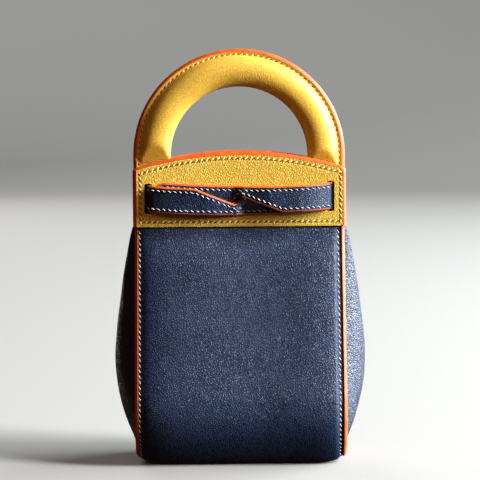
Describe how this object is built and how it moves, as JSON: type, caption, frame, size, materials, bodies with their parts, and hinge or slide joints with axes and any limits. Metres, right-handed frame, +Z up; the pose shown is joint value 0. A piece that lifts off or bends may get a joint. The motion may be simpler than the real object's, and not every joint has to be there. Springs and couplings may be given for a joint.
{
  "type": "mini handbag",
  "caption": "Upright wedge-shaped leather mini handbag with swelling side gussets, a padded arch handle, contrast yokes and straps that interlock on the front to close it.",
  "frame": {"origin": "on the ground, under the middle of the bag's base", "axes": "+Z up through the handle, -Y out of the front with the straps, +X to the right seen from the front"},
  "size_m": [0.1444, 0.068, 0.2357],
  "materials": {
    "navy_leather": "pebbled goat grain, satin",
    "yellow_leather": "fine grain, satin",
    "edge_paint": "domed orange edge paint, satin",
    "white_thread": "waxed white thread",
    "yellow_thread": "waxed yellow thread"
  },
  "bodies": {
    "root": {"body_wrap": "navy_leather", "gusset_left": "navy_leather", "gusset_right": "navy_leather", "front_yoke": "yellow_leather", "back_yoke": "yellow_leather", "handle": "yellow_leather", "strap_left": "navy_leather", "strap_right": "navy_leather"}
  },
  "joints": []
}
